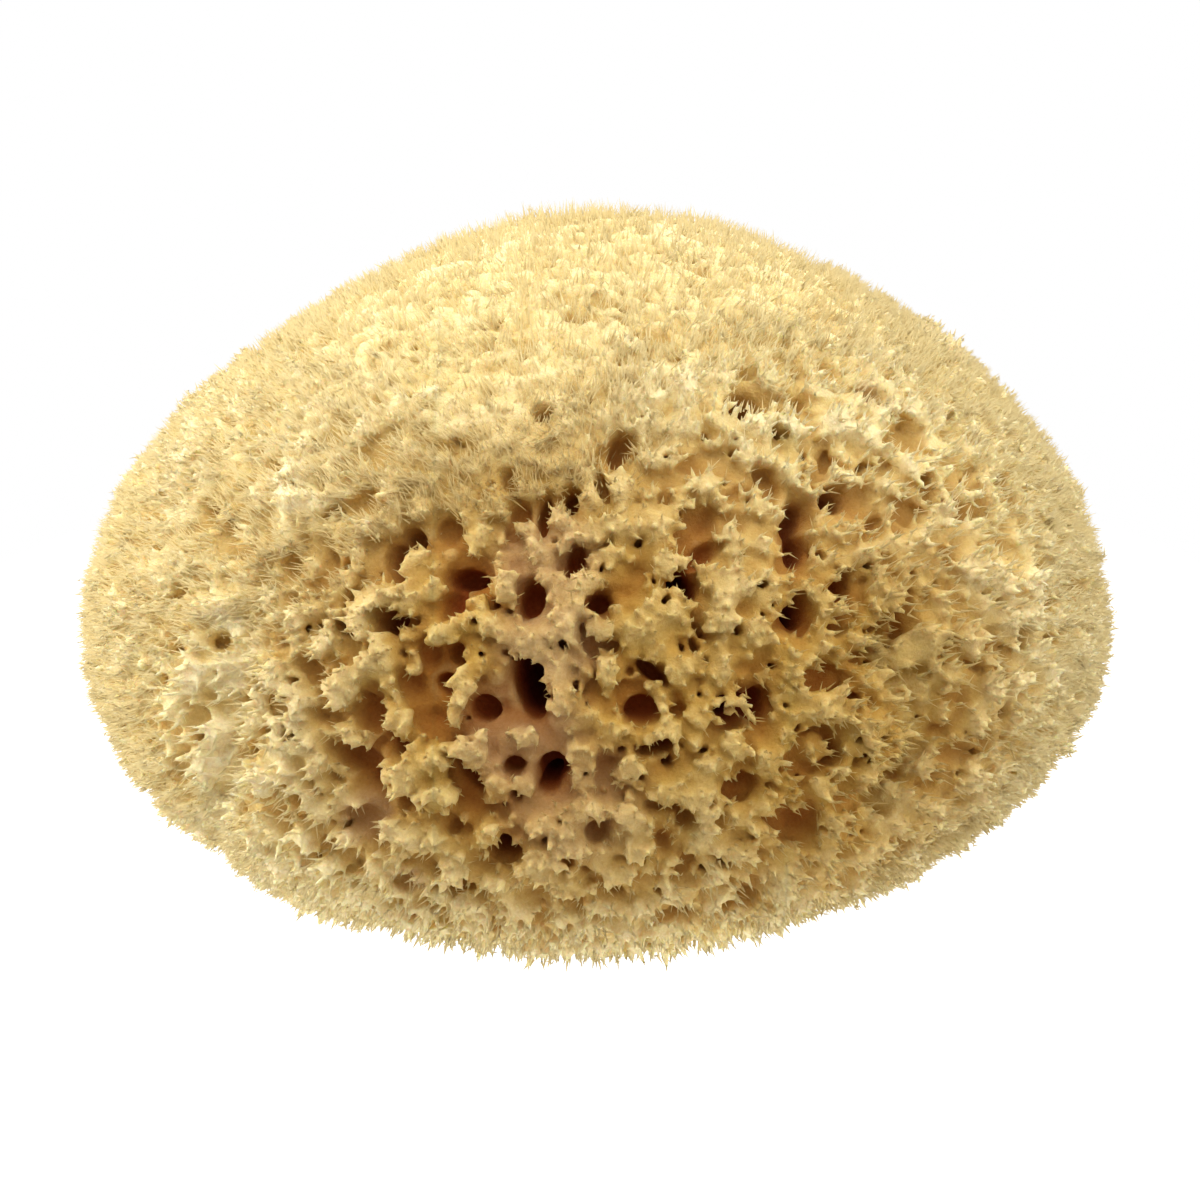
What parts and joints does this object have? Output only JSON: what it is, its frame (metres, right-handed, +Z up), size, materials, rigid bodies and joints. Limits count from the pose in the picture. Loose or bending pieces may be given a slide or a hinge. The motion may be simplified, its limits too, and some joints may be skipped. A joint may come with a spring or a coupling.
{
  "type": "sea sponge",
  "caption": "Dried natural bath sponge: a low dome of pointed tufts and branching webs, pitted with canal mouths, cut flat underneath so that it sits level.",
  "frame": {"origin": "middle of the flat cut that the sponge rests on, under the middle of its outline", "axes": "+X along the longest extent, to the right as seen from the front; +Y to the back; +Z up, away from the cut"},
  "size_m": [0.1488, 0.1254, 0.0956],
  "materials": {
    "sponge": "dry, matt, fibrous"
  },
  "bodies": {
    "root": {"sponge": "sponge"}
  },
  "joints": []
}
